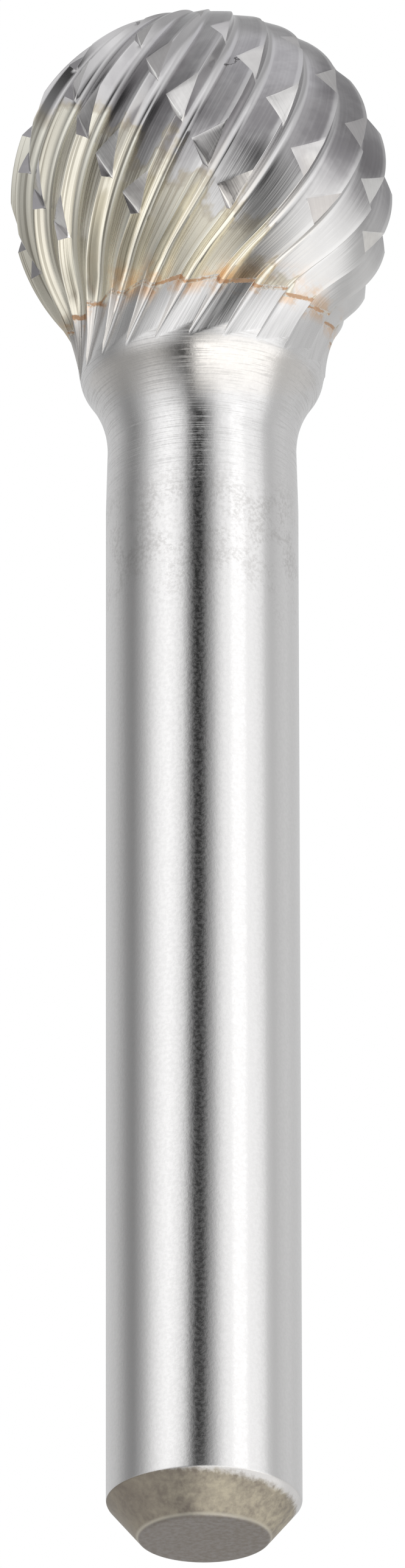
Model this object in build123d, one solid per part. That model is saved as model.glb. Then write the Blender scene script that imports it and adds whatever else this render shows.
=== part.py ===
import os
from math import cos, degrees, hypot, radians, sin, sqrt

from build123d import *

# A ball-nose burr: a carbide ball with right-hand spiral teeth and left-hand
# chip breakers, brazed to the flared neck of a plain steel shank.
# Lengths are in mm and angles in degrees. The axis is Z, the end of the shank
# lies on Z = 0 and the ball is at the top.

# ---- overall sizes ----
overall_length = 51.0
shank_radius = 3.0
ball_radius = 6.0
carbide_length = 10.47
braze_thickness = 0.15

# ---- end of the shank ----
end_face_radius = 1.975
end_chamfer_height = 1.235
end_edge_round = 0.15
rim_round = 0.22

# ---- neck: a ground waist, then a flare up to a short collar ----
collar_radius = 3.81
collar_below_braze = 1.53
flare_radius = 3.58
flare_below_collar = 0.6
waist_radius = 2.945
waist_below_collar = 2.55
neck_length = 4.6
blank_margin = 0.12  # the turned blank stands this far outside the tooth tips

# ---- teeth: right-hand spiral flutes with a steep cutting face ----
tooth_pairs = 11
tooth_depth = 0.5
rake_lean = 0.55  # sideways run of the cutting face for each mm of depth
gullet_flat = 0.2  # width of the flute bottom for each mm of depth
flute_phase = -5.2
ball_end_latitude = -42.0
tip_latitude = 86.0
long_flute_fade = 88.0
short_flute_fade = 80.0
full_depth_latitude = 15.0
tip_depth = 0.02  # what is left of a flute where it meets the tip
lead_rate = 0.5  # turn of a flute at the equator, in degrees for each degree of latitude
lead_growth = 0.00009  # how the turn speeds up toward the shank
lead_easing = 0.0011  # how it slows down toward the tip
ball_stations = 12

# ---- run-out of the flutes on the steel collar ----
neck_turn_per_mm = 9.6
neck_tip_slope = 0.55
neck_gullet_slope = 0.5
gullet_exit_radius = 3.79
tip_exit_radius = 3.86
run_out_below_collar = 0.6
tip_exit_slope = -0.05
gullet_exit_slope = 0.0
neck_stations = 6

# ---- chip breakers: left-hand spiral notches across the teeth ----
notch_depth = 0.38
notch_phase = -5.6
notch_ramp = 1.34  # width of the shallow side at the tooth tips
notch_wall = 0.15  # width of the steep side at the tooth tips
notch_overcut = 1.3
notch_end_latitude = -40.0
notch_top_latitude = 66.0
notch_lead_in = 16.0
notch_lead_out = 54.0
notch_end_size = 0.08  # share of the full section left at both ends
notch_rate = -0.5  # turn at the equator, in degrees for each degree of latitude
notch_growth = 0.0027  # how the turn eases toward the shank
notch_easing = -0.0005  # how it quickens toward the tip
notch_lift = 0.03  # the floor stays this much above the full depth
notch_crown = 0.5  # the cutter reaches this far outside the ball
notch_crown_offset = 0.4  # sideways place of its outer corner, as a share of the ramp
notch_stations = 14

# ---- heights that follow ----
ball_centre = overall_length - ball_radius
braze_top = overall_length - carbide_length
braze_bottom = braze_top - braze_thickness
collar_height = braze_bottom - collar_below_braze
run_out_height = collar_height - run_out_below_collar
tip_span = ball_centre + ball_radius * sin(radians(ball_end_latitude)) - run_out_height
flute_count = 2 * tooth_pairs


def polar(radius, azimuth, height):
    """Point at an azimuth turned from -Y toward +X."""
    return Vector(radius * sin(radians(azimuth)), -radius * cos(radians(azimuth)), height)


def on_ball(radius, latitude):
    """Distance from the axis and height of a point at a ball latitude."""
    return radius * cos(radians(latitude)), ball_centre + radius * sin(radians(latitude))


def smooth_step(x):
    x = min(max(x, 0.0), 1.0)
    return x * x * (3 - 2 * x)


def hermite(t, span, start, start_slope, end, end_slope):
    """Cubic from one value and slope to another, over a height span."""
    bend = t * (1 - t)
    ease = smooth_step(t)
    return start + (end - start) * ease + span * bend * ((1 - t) * start_slope - t * end_slope)


def flute_turn(latitude):
    """Turn of a flute round the axis: the lead grows toward the shank."""
    if latitude < 0:
        return lead_rate * latitude + lead_growth * latitude**3
    return lead_rate * latitude - lead_easing * latitude**2


def depth_at(latitude, number):
    """Tooth depth on the ball. Every second flute fades out sooner, because
    the teeth crowd together at the tip."""
    fade_end = long_flute_fade if number % 2 == 0 else short_flute_fade
    fade = smooth_step((latitude - full_depth_latitude) / (fade_end - full_depth_latitude))
    return max(tooth_depth * (1 - fade), tip_depth)


def tip_profile(t):
    """Tooth tips on the neck, from the run-out (0) up to the ball (1)."""
    end_r = ball_radius * cos(radians(ball_end_latitude))
    radius = hermite(t, tip_span, tip_exit_radius, tip_exit_slope, end_r, neck_tip_slope)
    return radius, run_out_height + tip_span * t


def gullet_profile(t):
    """Flute bottoms on the neck, from the run-out (0) up to the ball (1)."""
    end_r, end_z = on_ball(ball_radius - tooth_depth, ball_end_latitude)
    span = end_z - run_out_height
    radius = hermite(t, span, gullet_exit_radius, gullet_exit_slope, end_r, neck_gullet_slope)
    return radius, run_out_height + span * t


def tip_radius_at(height):
    """Radius of the tooth tips at a height, on the neck or on the ball."""
    t = (height - run_out_height) / tip_span
    if t < 1:
        return tip_profile(t)[0]
    return sqrt(ball_radius**2 - (height - ball_centre) ** 2)


def stations(number):
    """Tooth tip radius and height, flute bottom radius and height, and turn,
    from the run-out on the neck up to the ball tip."""
    rows = []
    for i in range(neck_stations):
        t = i / neck_stations
        turn = flute_turn(ball_end_latitude) - neck_turn_per_mm * tip_span * (1 - t)
        rows.append((*tip_profile(t), *gullet_profile(t), turn))
    for i in range(ball_stations + 1):
        latitude = ball_end_latitude + (tip_latitude - ball_end_latitude) * i / ball_stations
        tip_r, tip_z = on_ball(ball_radius, latitude)
        low_r, low_z = on_ball(ball_radius - depth_at(latitude, number), latitude)
        if i == ball_stations:
            low_z = tip_z
        rows.append((tip_r, tip_z, low_r, low_z, flute_turn(latitude)))
    return rows


def flute_edges(number):
    """Tooth tip on the left of a flute and the two sides of its bottom."""
    start = flute_phase + number * 360 / flute_count
    tip, left, right = [], [], []
    for tip_r, tip_z, low_r, low_z, turn in stations(number):
        depth = hypot(tip_r - low_r, tip_z - low_z)
        half_flat = degrees(0.5 * gullet_flat * depth / low_r)
        lean = degrees(rake_lean * depth / low_r)
        tip.append(polar(tip_r, start + turn - half_flat - lean, tip_z))
        left.append(polar(low_r, start + turn - half_flat, low_z))
        right.append(polar(low_r, start + turn + half_flat, low_z))
    return [Edge.make_spline(points) for points in (tip, left, right)]


def ruled_ring(edges):
    """Ruled faces between neighbouring edges, closed into a ring."""
    return [Face.make_surface_from_curves(a, b) for a, b in zip(edges, edges[1:] + edges[:1])]


def fluted_body():
    """Everything inside the flutes, from the neck run-out to the ball tip."""
    edges = [edge for number in range(flute_count) for edge in flute_edges(number)]
    bottom = Face(Wire.make_polygon([edge @ 0 for edge in edges], close=True))
    top = Face(Wire.make_polygon([edge @ 1 for edge in edges], close=True))
    return Solid(Shell(ruled_ring(edges) + [bottom, top]))


def notch_turn(latitude):
    """Turn of a notch spiral round the axis."""
    if latitude < 0:
        return notch_rate * latitude + notch_growth * latitude**2
    return notch_rate * latitude + notch_easing * latitude**2


def notch_cutter():
    """Saw-shaped bar along one left-hand spiral: a steep side toward the
    shank and a long shallow side toward the ball tip."""
    corners = [[], [], [], []]
    for i in range(notch_stations):
        latitude = notch_end_latitude + (notch_top_latitude - notch_end_latitude) * i / (notch_stations - 1)
        rise = smooth_step((latitude - notch_end_latitude) / notch_lead_in)
        fall = 1 - smooth_step((latitude - full_depth_latitude) / notch_lead_out)
        size = max(rise * fall, notch_end_size)
        depth = notch_depth * size
        slant = -notch_rate * cos(radians(latitude))
        across = degrees(size / (ball_radius * hypot(1, slant)))
        floor = ball_radius + notch_lift - depth
        section = (
            (0.0, floor),
            (notch_overcut * notch_ramp, floor + notch_overcut * depth),
            (notch_crown_offset * notch_ramp, ball_radius + notch_crown),
            (-notch_overcut * notch_wall, floor + notch_overcut * depth),
        )
        for corner, (offset, radius) in zip(corners, section):
            turn = notch_turn(latitude) + offset * across / cos(radians(latitude))
            distance, height = on_ball(radius, latitude + offset * across * slant)
            corner.append(polar(distance, notch_phase + turn, height))
    edges = [Edge.make_spline(points) for points in corners]
    ends = [
        Face.make_surface_from_curves(
            Edge.make_line(edges[0] @ t, edges[1] @ t),
            Edge.make_line(edges[3] @ t, edges[2] @ t),
        )
        for t in (0, 1)
    ]
    return Solid(Shell(ruled_ring(edges) + ends))


def shank_blank():
    """Turned steel blank: plain shank, waist, flare and collar."""
    blank_top = tip_radius_at(braze_bottom) + blank_margin
    neck_foot = (shank_radius, collar_height - neck_length)
    waist = (waist_radius, collar_height - waist_below_collar)
    with BuildSketch(Plane.XZ) as outline:
        with BuildLine():
            FilletPolyline(
                (0, 0),
                (end_face_radius, 0),
                (shank_radius, end_chamfer_height),
                neck_foot,
                radius=[end_edge_round, rim_round],
            )
            Line(neck_foot, waist)
            flare = TangentArc(waist, (flare_radius, collar_height - flare_below_collar), tangent=(0, 1))
            collar = TangentArc(flare @ 1, (collar_radius, collar_height), tangent=flare % 1)
            Polyline(collar @ 1, (blank_top, braze_bottom), (0, braze_bottom), (0, 0))
        make_face()
    return revolve(outline.sketch, Axis.Z)


def slab(low, high):
    """Wide disc between two heights, used to divide the fluted body."""
    return Pos(0, 0, low) * Cylinder(
        ball_radius + 1, high - low, align=(Align.CENTER, Align.CENTER, Align.MIN)
    )


toothed = fluted_body()
cutter = notch_cutter()
notched = toothed.cut(*[Rot(0, 0, i * 360 / tooth_pairs) * cutter for i in range(tooth_pairs)])

carbide_head = notched.intersect(slab(braze_top, overall_length + 1)).solid()
braze_joint = toothed.intersect(slab(braze_bottom, braze_top)).solid()
neck_waste = slab(run_out_height + 0.02, braze_bottom) - toothed
shank = (shank_blank() - neck_waste).solid()

os.makedirs("parts", exist_ok=True)
for name, solid in (
    ("carbide_head", carbide_head),
    ("braze_joint", braze_joint),
    ("shank", shank),
):
    export_step(solid, f"parts/{name}.step")
    print(name, round(solid.volume, 3), "mm3")
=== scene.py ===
import math

import bpy
import numpy as np
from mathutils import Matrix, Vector


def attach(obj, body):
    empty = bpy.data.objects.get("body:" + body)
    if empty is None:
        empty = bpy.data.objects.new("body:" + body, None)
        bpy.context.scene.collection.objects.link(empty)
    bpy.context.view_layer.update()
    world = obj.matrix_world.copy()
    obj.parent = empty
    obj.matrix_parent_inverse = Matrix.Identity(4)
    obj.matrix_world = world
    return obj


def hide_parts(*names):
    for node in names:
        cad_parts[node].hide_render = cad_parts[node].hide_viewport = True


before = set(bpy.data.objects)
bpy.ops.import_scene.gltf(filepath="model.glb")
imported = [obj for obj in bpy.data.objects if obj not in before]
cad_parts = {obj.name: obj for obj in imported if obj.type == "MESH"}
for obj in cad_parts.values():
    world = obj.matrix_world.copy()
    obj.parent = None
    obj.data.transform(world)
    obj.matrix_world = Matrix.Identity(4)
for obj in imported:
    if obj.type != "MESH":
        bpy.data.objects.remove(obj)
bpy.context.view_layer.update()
scene = bpy.context.scene
scene.view_settings.view_transform = "Standard"
mm = 0.001
print("frame loaded")


# small helpers for node trees: a value is a socket to link or a plain number
def node(tree, kind, **settings):
    made = tree.nodes.new(kind)
    for name, value in settings.items():
        setattr(made, name, value)
    return made


def link(tree, source, target):
    tree.links.new(source, target)


def feed(tree, target, value):
    if isinstance(value, bpy.types.NodeSocket):
        link(tree, value, target)
    elif value is not None:
        target.default_value = value


def calc(tree, operation, a, b=None, c=None, clamp=False):
    made = node(tree, "ShaderNodeMath", operation=operation, use_clamp=clamp)
    for target, value in zip(made.inputs, (a, b, c)):
        feed(tree, target, value)
    return made.outputs[0]


def times(tree, first, *others):
    for factor in others:
        first = calc(tree, "MULTIPLY", first, factor)
    return first


# base plus a share of the value
def addShare(tree, value, share, base):
    return calc(tree, "MULTIPLY_ADD", value, share, base)


def remap(tree, value, low, high, toLow=0.0, toHigh=1.0):
    made = node(tree, "ShaderNodeMapRange", interpolation_type="SMOOTHSTEP")
    for target, entry in zip(made.inputs, (value, low, high, toLow, toHigh)):
        feed(tree, target, entry)
    return made.outputs[0]


# up from 0 to 1 over the first two numbers and down again over the last two
def window(tree, value, start, full, fullEnd, end):
    return times(tree, remap(tree, value, start, full), remap(tree, value, end, fullEnd))


def splitXyz(tree, vector):
    made = node(tree, "ShaderNodeSeparateXYZ")
    link(tree, vector, made.inputs[0])
    return made.outputs


def joinXyz(tree, x, y, z=0.0):
    made = node(tree, "ShaderNodeCombineXYZ")
    for target, value in zip(made.inputs, (x, y, z)):
        feed(tree, target, value)
    return made.outputs[0]


def mixColour(tree, factor, a, b, blend="MIX"):
    made = node(tree, "ShaderNodeMix", data_type="RGBA", blend_type=blend)
    feed(tree, made.inputs[0], factor)
    feed(tree, made.inputs[6], (*a, 1) if isinstance(a, tuple) else a)
    feed(tree, made.inputs[7], (*b, 1) if isinstance(b, tuple) else b)
    return made.outputs[2]


def dye(tree, colour, by):
    return mixColour(tree, 1.0, colour, by, "MULTIPLY")


def mixShader(tree, factor, a, b):
    made = node(tree, "ShaderNodeMixShader")
    for target, source in zip(made.inputs, (factor, a, b)):
        link(tree, source, target)
    return made.outputs[0]


# the page: a flat ring at height 0 that shows from above only; lenses see it
# white, while the metal mirrors the bands of the studio in it, and an evenly
# bright part close to the shank
pageLook = {
    "reach": 1.5,             # half width in metres
    "hole": 0.0021,           # clear ring under the end of the shank
    "sides": 96,
    "matt": (0.85, 0.85, 0.85),
    "even": 0.020,            # the page is evenly bright out to here
    "evenFade": 1.25,         # and gives way to the bands by this many times that
    "evenLevel": 0.75,
    "evenShare": 0.75,        # the rest still follows the bands
    "seenFrom": 0.04,         # height that the bands on the page are fitted to
}
# the studio: a white tent with dark gaps, given as brightness by azimuth in
# degrees from -Y toward +X, in three bands from low to high
studioLook = {
    "low": (
        (-180, 0.60), (-132, 0.56), (-110, 0.50), (-90, 0.40), (-72, 0.38), (-56, 0.50),
        (-45, 0.42), (-33, 0.22), (-24, 0.08), (-17, 0.10), (-11, 0.40), (-6, 1.1), (2, 1.42),
        (30, 1.40), (68, 1.38), (77, 1.15), (85, 0.72), (92, 0.62), (125, 0.60), (180, 0.60),
    ),
    "middle": (
        (-180, 0.62), (-150, 0.66), (-128, 0.60), (-114, 0.46), (-102, 0.31), (-92, 0.26),
        (-82, 0.38), (-72, 0.60), (-64, 0.85), (-55, 1.08), (-42, 1.24), (-33, 1.12),
        (-26, 0.94), (-20, 0.64), (-15, 0.28), (-10, 0.04), (-4, 0.01), (1, 0.06), (6, 0.28),
        (12, 0.48), (19, 0.82), (26, 1.06), (34, 1.10), (58, 1.095), (66, 1.07), (75, 0.94),
        (83, 0.66), (92, 0.58), (104, 0.66), (118, 0.70), (132, 0.65),
    ),
    "high": (
        (-180, 0.46), (-130, 0.50), (-90, 0.52), (-60, 0.66), (-38, 0.80), (-20, 1.02),
        (10, 1.06), (40, 0.90), (65, 0.84), (90, 0.56), (125, 0.60), (180, 0.50),
    ),
    "top": (0.86, 0.86, 0.88),
    "tint": (0.992, 0.996, 1.0),
    "lowTint": (1.0, 0.975, 0.935),   # warmer light off the page
    "middleFrom": (-42, 23),          # elevations where the low band ends and the middle one is full
    "highFrom": (27, 48),
    "topFrom": (62, 80),
}


# the angle of a direction about the upright axis, from 0 to 1 over a full turn
def turnOf(tree, axis):
    angle = calc(tree, "ARCTAN2", axis["X"], times(tree, axis["Y"], -1.0))
    return addShare(tree, angle, 0.5 / math.pi, 0.5)


# one band of the studio as a ramp over a full turn
def band(tree, turn, stops):
    made = node(tree, "ShaderNodeValToRGB")
    feed(tree, made.inputs[0], turn)
    points = made.color_ramp.elements
    while len(points) < len(stops):
        points.new(1.0)
    for point, (angle, level) in zip(points, stops):
        point.position = angle / 360 + 0.5
        point.color = (level, level, level, 1)
    return made.outputs[0]


# how far up from the low band to the middle one, in a straight line from 0 to 1
def bandRise(tree, height):
    low, high = studioLook["middleFrom"]
    slope = 180 / math.pi / (high - low)
    return calc(tree, "MULTIPLY_ADD", height, slope, -low / (high - low), clamp=True)


def lensRay(tree):
    path = node(tree, "ShaderNodeLightPath").outputs
    return path, calc(tree, "MAXIMUM", path["Is Camera Ray"], path["Is Transmission Ray"])


# ring of quads between two circles
def ringBetween(inner, outer, sides):
    turns = np.linspace(0, 2 * np.pi, sides + 1)[:-1]
    circle = np.stack([np.cos(turns), np.sin(turns), np.zeros_like(turns)], axis=1)
    i = np.arange(sides)
    j = (i + 1) % sides
    quads = np.stack([i, i + sides, j + sides, j], axis=1)
    return np.concatenate([circle * inner, circle * outer]), quads


# brightness that the metal mirrors in the page: by azimuth from the low and the
# middle band, mixed by the angle at which a point lies below "seenFrom"
def pageBands(tree, look):
    place = node(tree, "ShaderNodeTexCoord").outputs["Object"]
    turn = turnOf(tree, splitXyz(tree, place))
    reach = node(tree, "ShaderNodeVectorMath", operation="LENGTH")
    link(tree, place, reach.inputs[0])
    reach = reach.outputs["Value"]
    drop = times(tree, calc(tree, "ARCTAN2", look["seenFrom"], reach), -1.0)
    low = dye(tree, band(tree, turn, studioLook["low"]), studioLook["lowTint"])
    shown = mixColour(tree, bandRise(tree, drop), low, band(tree, turn, studioLook["middle"]))
    near = remap(tree, reach, look["even"] * look["evenFade"], look["even"], 0.0, look["evenShare"])
    return mixColour(tree, near, shown, (look["evenLevel"],) * 3)


def makeFloor(look):
    points, quads = ringBetween(look["hole"], look["reach"], look["sides"])
    mesh = bpy.data.meshes.new("floor")
    mesh.from_pydata(points.tolist(), [], quads.tolist())
    floor = bpy.data.objects.new("floor", mesh)
    scene.collection.objects.link(floor)
    paint = bpy.data.materials.new("pageWhite")
    paint.use_nodes = True
    tree = paint.node_tree
    tree.nodes.clear()
    path, lens = lensRay(tree)
    matt = node(tree, "ShaderNodeBsdfDiffuse")
    matt.inputs["Color"].default_value = (*look["matt"], 1)
    mirrored = node(tree, "ShaderNodeEmission")
    feed(tree, mirrored.inputs["Color"], pageBands(tree, look))
    page = node(tree, "ShaderNodeEmission")
    clear = node(tree, "ShaderNodeBsdfTransparent")
    front = mixShader(tree, path["Is Glossy Ray"], matt.outputs[0], mirrored.outputs[0])
    front = mixShader(tree, lens, front, page.outputs[0])
    facing = node(tree, "ShaderNodeNewGeometry").outputs["Backfacing"]
    both = mixShader(tree, facing, front, clear.outputs[0])
    link(tree, both, node(tree, "ShaderNodeOutputMaterial").inputs[0])
    mesh.materials.append(paint)


# world: the bands one above the other by elevation; lenses see plain white
def makeStudio(look):
    world = bpy.data.worlds.new("studio")
    scene.world = world
    world.use_nodes = True
    tree = world.node_tree
    tree.nodes.clear()
    axis = splitXyz(tree, node(tree, "ShaderNodeTexCoord").outputs["Generated"])
    turn, height = turnOf(tree, axis), calc(tree, "ARCSINE", axis["Z"])
    low, middle, high = (band(tree, turn, look[name]) for name in ("low", "middle", "high"))
    sky = mixColour(tree, bandRise(tree, height), low, middle)
    for span, upper in (("highFrom", high), ("topFrom", look["top"])):
        start, full = (math.radians(angle) for angle in look[span])
        sky = mixColour(tree, remap(tree, height, start, full), sky, upper)
    lit = node(tree, "ShaderNodeBackground")
    feed(tree, lit.inputs["Color"], dye(tree, sky, look["tint"]))
    page = node(tree, "ShaderNodeBackground")
    page.inputs["Color"].default_value = (1, 1, 1, 1)
    path, lens = lensRay(tree)
    link(tree, mixShader(tree, lens, lit.outputs[0], page.outputs[0]),
         node(tree, "ShaderNodeOutputWorld").inputs[0])


makeFloor(pageLook)
makeStudio(studioLook)

cameraLook = {
    "lens": 430.0,
    "elevation": -23.10,
    "roll": -0.119,
    "pictureHeight": 2576,
    "pixelsPerMm": 52.99,
    "targetX": -0.006,
    "targetZ": 25.052,
}
keyLook = {
    "place": (0.34, -0.36, 0.26),     # in metres
    "target": (0, 0, 0.03),
    "size": (0.16, 0.30),
    "power": 0.03,                    # a trace only: the tent is the light
}


def aimed(thing, place, target):
    place, target = Vector(place), Vector(target)
    thing.location = place
    thing.rotation_euler = (target - place).to_track_quat("-Z", "Y").to_euler()


def makeCamera(look):
    lens = bpy.data.cameras.new("camera")
    lens.lens = look["lens"]
    lens.sensor_width = 36
    made = bpy.data.objects.new("camera", lens)
    scene.collection.objects.link(made)
    distance = look["lens"] / 36 * look["pictureHeight"] / look["pixelsPerMm"] * mm
    lens.clip_start = distance * 0.2
    lens.clip_end = distance * 10
    tilt = math.radians(look["elevation"])
    ahead = Vector((0, math.cos(tilt), -math.sin(tilt)))
    target = Vector((look["targetX"], 0, look["targetZ"])) * mm
    aimed(made, target - ahead * distance, target)
    made.rotation_euler.rotate_axis("Z", math.radians(look["roll"]))
    scene.camera = made


def softBox(name, look):
    lamp = bpy.data.lights.new(name, "AREA")
    lamp.shape = "RECTANGLE"
    lamp.size, lamp.size_y = look["size"]
    lamp.energy = look["power"]
    made = bpy.data.objects.new(name, lamp)
    scene.collection.objects.link(made)
    aimed(made, look["place"], look["target"])


makeCamera(cameraLook)
softBox("keyBox", keyLook)
print("page, studio and camera made")


# the teeth, in mm and degrees; v runs along a flute from -1 at the run-out on
# the steel to 0 at the foot of the ball and 1 at its tip
burrShape = {
    "ballRadius": 6.0,
    "ballCentre": 45.0,
    "pairs": 11,
    "depth": 0.5,
    "tipDepth": 0.02,
    "lean": 0.55,               # sideways run of the cutting face per mm of depth
    "flat": 0.2,                # width of the flute bottom per mm of depth
    "phase": -5.2,
    "footLatitude": -42.0,
    "tipLatitude": 86.0,
    "fullDepthLatitude": 15.0,
    "fadeEnds": (88.0, 80.0),
    "turnRate": 0.5,            # degrees round for each degree of latitude
    "turnGrowth": 0.00009,      # cubic, toward the shank
    "turnEasing": 0.0011,       # square, toward the tip
    "runOut": 38.25,
    "neckTurn": 9.6,            # degrees per mm on the neck
    "tipOnNeck": (3.86, -0.05, 0.55),  # radius and slope at the run-out, slope at the ball
    "lowOnNeck": (3.79, 0.0, 0.5),     # the same for the flute bottom
    "crown": 0.03,              # how far the backs of the teeth swell
    "crownFade": (30.0, 50.0),  # latitude where the swell begins to fade, and over how much
    "brazeTop": 40.53,
    "brazeBottom": 40.38,
}
notchShape = {
    "depth": 0.38,
    "phase": -5.6,
    "ramp": 1.34,
    "wall": 0.15,
    "lift": 0.03,
    "endSize": 0.08,
    "root": 0.022,              # how far the bottom of the V is rounded off
    "low": -40.0,
    "high": 74.0,
    "leadIn": 16.0,
    "leadOut": 62.0,
    "turnRate": -0.5,
    "turnGrowth": 0.0027,       # squares, toward the shank and toward the tip
    "turnEasing": -0.0005,
}
# places of the columns across a tooth and of the rows along it
toothGrid = {
    "bottomOut": (0.5, 0.65, 0.82, 1.0),  # from the middle of a flute bottom to its end
    "bottomIn": (0.16, 0.33),             # from its start toward the middle
    "backStart": 0.09,                    # the rounding of the bottom reaches this far up the back
    "backEnd": 0.98,
    "backColumns": 13,
    "nearTip": (0.955, 0.982),            # two more columns that hold the tooth tip crisp
    "face": (0.12, 0.35, 0.55, 0.74),     # down the cutting face; the rounding begins at the last
    "afterTip": 0.06,
    "notchNumbers": (-3, 6),              # notches that meet the first pair of teeth
    "plainRows": 15,
    "rampRows": 4,
    "rampReach": 0.22,                    # where the ends of a notch are looked for, in v
    "wallReach": 0.05,
    "leastRamp": 0.0016,
    "leastWall": 0.0008,
    "close": 0.006,                       # rows nearer to an end than this fall on it
    "beyondEnds": 125,                    # degrees per v past both ends of the ball
}
# the "grind" map, in mm
grindMap = {
    "alongPerV": 13.4,
    "acrossAt": 0.33,       # v at which distances across the teeth are taken
    "notchStart": 20,       # keeps marks in the notches apart from those of the teeth
    "notchPerDegree": 0.1,
    "pairStep": 2.9,        # so that no two pairs of teeth carry the same marks
}
pitch = 360 / burrShape["pairs"]
ballCentre = np.array([0.0, 0.0, burrShape["ballCentre"]])
footSpan = (
    burrShape["ballCentre"]
    + burrShape["ballRadius"] * math.sin(math.radians(burrShape["footLatitude"]))
    - burrShape["runOut"]
)


# smooth step: 3 x squared less 2 x cubed, held at 0 and 1 outside
def smoothStep(x):
    x = np.clip(x, 0, 1)
    return x * x * (3 - 2 * x)


# cubic between two radii with a slope at each end, over a height span
def easeBetween(t, span, start, startSlope, end, endSlope):
    return (start + (end - start) * smoothStep(t)
            + span * t * (1 - t) * ((1 - t) * startSlope - t * endSlope))


# turn of a flute: half a degree per degree of latitude, with a cubic growth
# toward the shank and a square easing toward the tip
def fluteTurn(lat):
    s = burrShape
    bend = np.where(lat < 0, s["turnGrowth"] * lat**3, -s["turnEasing"] * lat**2)
    return s["turnRate"] * lat + bend


# turn of a notch: minus half a degree per degree, with a square on each side
def notchTurn(lat):
    n = notchShape
    return n["turnRate"] * lat + np.where(lat < 0, n["turnGrowth"], n["turnEasing"]) * lat**2


# how fast that turn changes with latitude: its derivative
def notchSlope(lat):
    n = notchShape
    return n["turnRate"] + np.where(lat < 0, 2 * n["turnGrowth"], 2 * n["turnEasing"]) * lat


# point at a radius and a height, at an azimuth turned from -Y toward +X
def polar(radius, azimuth, height):
    angle = np.radians(azimuth)
    return np.stack([radius * np.sin(angle), -radius * np.cos(angle), height], axis=-1)


# straight from the foot of the ball to its tip, held at the foot along the neck
def latitudeAt(v):
    foot, tip = burrShape["footLatitude"], burrShape["tipLatitude"]
    return foot + (tip - foot) * np.clip(v, 0, 1)


# turn of a flute at v: as on the ball, less a straight turn down the neck
def turnAt(v):
    t = np.clip(1 + v, 0, 1)
    return fluteTurn(latitudeAt(v)) - burrShape["neckTurn"] * footSpan * (1 - t)


# radius and height at v of a line that lies on a sphere along the ball, and on
# a cubic that leaves the sphere at its foot along the neck
def lineAt(v, sphere, footRadius, onNeck):
    s = burrShape
    t = np.clip(1 + v, 0, 1)
    foot = math.radians(s["footLatitude"])
    angle = np.radians(latitudeAt(v))
    span = s["ballCentre"] + footRadius * math.sin(foot) - s["runOut"]
    startRadius, startSlope, endSlope = onNeck
    neckRadius = easeBetween(t, span, startRadius, startSlope, footRadius * math.cos(foot), endSlope)
    return (np.where(v < 0, neckRadius, sphere * np.cos(angle)),
            np.where(v < 0, s["runOut"] + span * t, s["ballCentre"] + sphere * np.sin(angle)))


# three edges of flute number n at v: the tooth tip on its left and the two
# sides of its bottom, whose depth fades out smoothly toward the tip of the ball
def fluteEdges(v, number):
    s = burrShape
    fadeStart, fadeEnd = s["fullDepthLatitude"], s["fadeEnds"][number % 2]
    fade = smoothStep((latitudeAt(v) - fadeStart) / (fadeEnd - fadeStart))
    low = s["ballRadius"] - np.maximum(s["depth"] * (1 - fade), s["tipDepth"])
    tipR, tipZ = lineAt(v, s["ballRadius"], s["ballRadius"], s["tipOnNeck"])
    lowR, lowZ = lineAt(v, low, s["ballRadius"] - s["depth"], s["lowOnNeck"])
    depth = np.hypot(tipR - lowR, tipZ - lowZ)
    half = np.degrees(0.5 * s["flat"] * depth / lowR)
    lean = np.degrees(s["lean"] * depth / lowR)
    start = s["phase"] + number * pitch / 2 + turnAt(v)
    return [polar(tipR, start - half - lean, tipZ), polar(lowR, start - half, lowZ),
            polar(lowR, start + half, lowZ)]


# columns across two teeth, as weights on the edges of flutes 0 to 3: a flute
# bottom rounded by a square curve between two points and the corner, a straight
# back up to the tip, and the steep cutting face
def toothColumns():
    g = toothGrid
    unit = np.eye(12)
    tip, left, right = unit[0::3], unit[1::3], unit[2::3]
    faceEnd, backStart = g["face"][-1], g["backStart"]
    backs = np.append(np.linspace(backStart, g["backEnd"], g["backColumns"])[1:-1], g["nearTip"])
    weights, lifts = [], []

    def bottom(n, t):
        start = faceEnd * left[n] + (1 - faceEnd) * tip[n]
        end = (1 - backStart) * right[n] + backStart * tip[n + 1]
        corner = 0.5 * (left[n] + right[n])
        return (1 - t) ** 2 * start + 2 * t * (1 - t) * corner + t * t * end

    for n in (0, 1):
        weights += [bottom(n, t) for t in g["bottomOut"]]
        lifts += [0.0] * len(g["bottomOut"])
        weights += [(1 - q) * right[n] + q * tip[n + 1] for q in backs]
        lifts += [4 * q * (1 - q) for q in backs]
        before = weights[-1]
        after = (1 - g["afterTip"]) * tip[n + 1] + g["afterTip"] * left[n + 1]
        weights += [0.5 * tip[n + 1] + 0.3 * before + 0.2 * after, after]
        weights += [(1 - q) * tip[n + 1] + q * left[n + 1] for q in g["face"]]
        weights += [bottom(n + 1, t) for t in g["bottomIn"]]
        lifts += [0.0] * (2 + len(g["face"]) + len(g["bottomIn"]))
    weights.append(bottom(2, g["bottomOut"][0]))
    lifts.append(0.0)
    return np.array(weights), np.array(lifts)


columnWeights, columnLifts = toothColumns()
columnCount = len(columnWeights)
# 1 on the cutting face and the flute bottom, fading out up the back
columnLand = 1 - smoothStep((columnLifts - 0.25) / 0.35)
columnLand[-1] = columnLand[0] = 1.0


# numbers, one for each column, as an array that fits grids like v
def perColumn(values, v):
    return np.asarray(values).reshape(-1, *[1] * (v.ndim - 1))


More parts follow.
